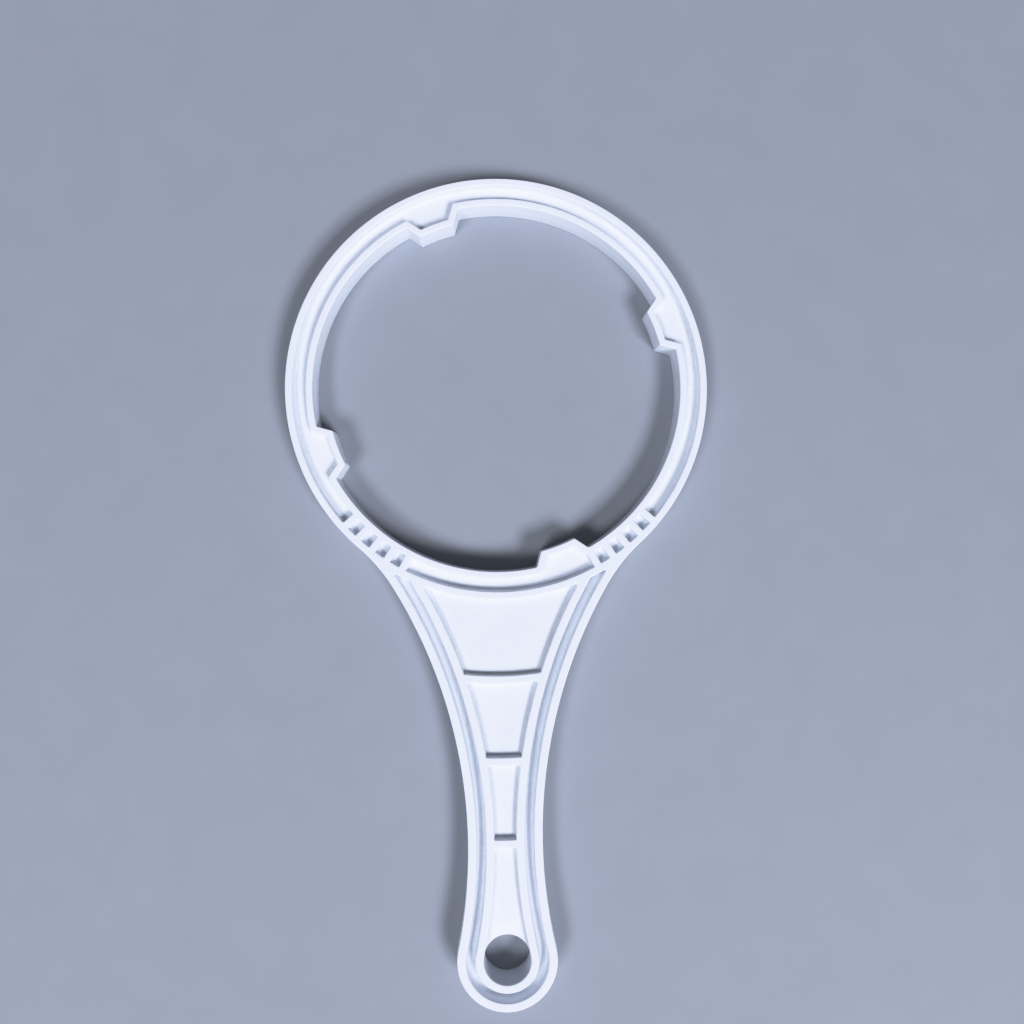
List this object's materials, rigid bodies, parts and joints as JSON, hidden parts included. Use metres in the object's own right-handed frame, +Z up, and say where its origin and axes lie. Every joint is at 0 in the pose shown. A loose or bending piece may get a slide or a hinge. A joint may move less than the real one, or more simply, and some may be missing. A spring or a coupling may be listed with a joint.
{
  "type": "filter housing wrench",
  "caption": "Flat moulded plastic wrench with a lugged ring that grips a filter housing, a tapered ribbed handle and a hanging hole.",
  "frame": {"origin": "centre of the ring on the underside, the face that the wrench lies on", "axes": "+Z up along the ring's axis, the handle along -Y, +X to the right when the handle points to the viewer"},
  "size_m": [0.1444, 0.2825, 0.01],
  "materials": {
    "plastic": "white moulded polypropylene, satin, with a fine grain"
  },
  "bodies": {
    "root": {"wrench": "plastic"}
  },
  "joints": []
}
